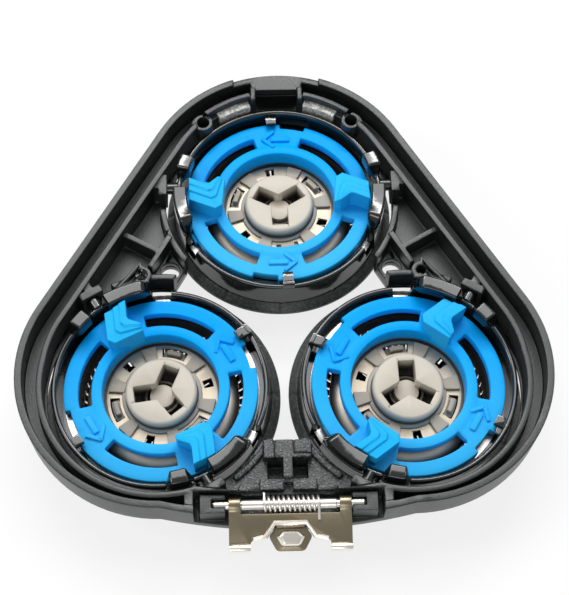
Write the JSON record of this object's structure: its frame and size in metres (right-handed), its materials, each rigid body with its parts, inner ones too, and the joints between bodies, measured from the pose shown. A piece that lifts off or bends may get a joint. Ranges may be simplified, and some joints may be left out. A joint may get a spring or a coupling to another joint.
{
  "type": "rotary shaver head",
  "caption": "Rotary shaver head seen from its drive side: a black frame with tilting rings, slotted steel guards, spinning cutters in blue turn-lock rings, and a sprung hinge plate at one edge",
  "frame": {"origin": "centre of the bounding box in X and Y, at its bottom in Z: the plane that the three guards rest on", "axes": "+Z points to the drive side, away from the skin; +Y points from the hinge plate to the apex; +X to the right in the picture"},
  "size_m": [0.0596, 0.0592, 0.0096],
  "materials": {
    "frame_plastic": "fine sparked texture",
    "gloss_plastic": "polished",
    "bezel_plastic": "satin",
    "ring_plastic": "moulded, semi-gloss",
    "hub_plastic": "moulded, satin",
    "cutter_steel": "stamped, lapped",
    "guard_steel": "turned and polished",
    "pin_steel": "bright drawn wire",
    "plate_steel": "pressed sheet, satin"
  },
  "bodies": {
    "frame": {"holder_frame": "frame_plastic", "face_trim": "gloss_plastic", "hinge_pin": "pin_steel", "hinge_spring": "pin_steel"},
    "plate": {"hinge_plate": "plate_steel"},
    "ring_top": {"pivot_ring_top": "gloss_plastic", "skin_ring_top": "bezel_plastic", "guard_top": "guard_steel", "guard_disc_top": "guard_steel"},
    "cutter_top": {"cutter_blades_top": "cutter_steel", "cutter_hub_top": "hub_plastic"},
    "retainer_top": {"retaining_ring_top": "ring_plastic"},
    "ring_left": {"pivot_ring_left": "gloss_plastic", "skin_ring_left": "bezel_plastic", "guard_left": "guard_steel", "guard_disc_left": "guard_steel"},
    "cutter_left": {"cutter_blades_left": "cutter_steel", "cutter_hub_left": "hub_plastic"},
    "retainer_left": {"retaining_ring_left": "ring_plastic"},
    "ring_right": {"pivot_ring_right": "gloss_plastic", "skin_ring_right": "bezel_plastic", "guard_right": "guard_steel", "guard_disc_right": "guard_steel"},
    "cutter_right": {"cutter_blades_right": "cutter_steel", "cutter_hub_right": "hub_plastic"},
    "retainer_right": {"retaining_ring_right": "ring_plastic"}
  },
  "joints": [
    {"name": "plate_hinge", "type": "hinge", "parent": "frame", "child": "plate", "pos_m": [0, -0.0246, 0.00724], "axis": [-1, 0, 0], "range_deg": [0, 95], "stiffness_Nm_per_rad": 0.0005, "springref_deg": -20.05, "deforming": ["hinge_spring"]},
    {"name": "tilt_top", "type": "hinge", "parent": "frame", "child": "ring_top", "pos_m": [0, 0.01471, 0.00737], "axis": [1, 0, 0], "range_deg": [-3, 5]},
    {"name": "spin_top", "type": "hinge", "parent": "ring_top", "child": "cutter_top", "pos_m": [0, 0.01346, 0.00644], "axis": [0, 0.0534, 0.9986], "continuous": true},
    {"name": "lock_top", "type": "hinge", "parent": "ring_top", "child": "retainer_top", "pos_m": [0, 0.01346, 0.00644], "axis": [0, 0.0534, 0.9986], "range_deg": [0, 18]},
    {"name": "tilt_left", "type": "hinge", "parent": "frame", "child": "ring_left", "pos_m": [-0.0149, -0.01109, 0.00737], "axis": [-0.5, 0.866, 0], "range_deg": [-3, 5]},
    {"name": "spin_left", "type": "hinge", "parent": "ring_left", "child": "cutter_left", "pos_m": [-0.01381, -0.01047, 0.00644], "axis": [-0.0462, -0.0267, 0.9986], "continuous": true},
    {"name": "lock_left", "type": "hinge", "parent": "ring_left", "child": "retainer_left", "pos_m": [-0.01381, -0.01047, 0.00644], "axis": [-0.0462, -0.0267, 0.9986], "range_deg": [0, 18]},
    {"name": "tilt_right", "type": "hinge", "parent": "frame", "child": "ring_right", "pos_m": [0.0149, -0.01109, 0.00737], "axis": [-0.5, -0.866, 0], "range_deg": [-3, 5]},
    {"name": "spin_right", "type": "hinge", "parent": "ring_right", "child": "cutter_right", "pos_m": [0.01381, -0.01047, 0.00644], "axis": [0.0462, -0.0267, 0.9986], "continuous": true},
    {"name": "lock_right", "type": "hinge", "parent": "ring_right", "child": "retainer_right", "pos_m": [0.01381, -0.01047, 0.00644], "axis": [0.0462, -0.0267, 0.9986], "range_deg": [0, 18]}
  ]
}
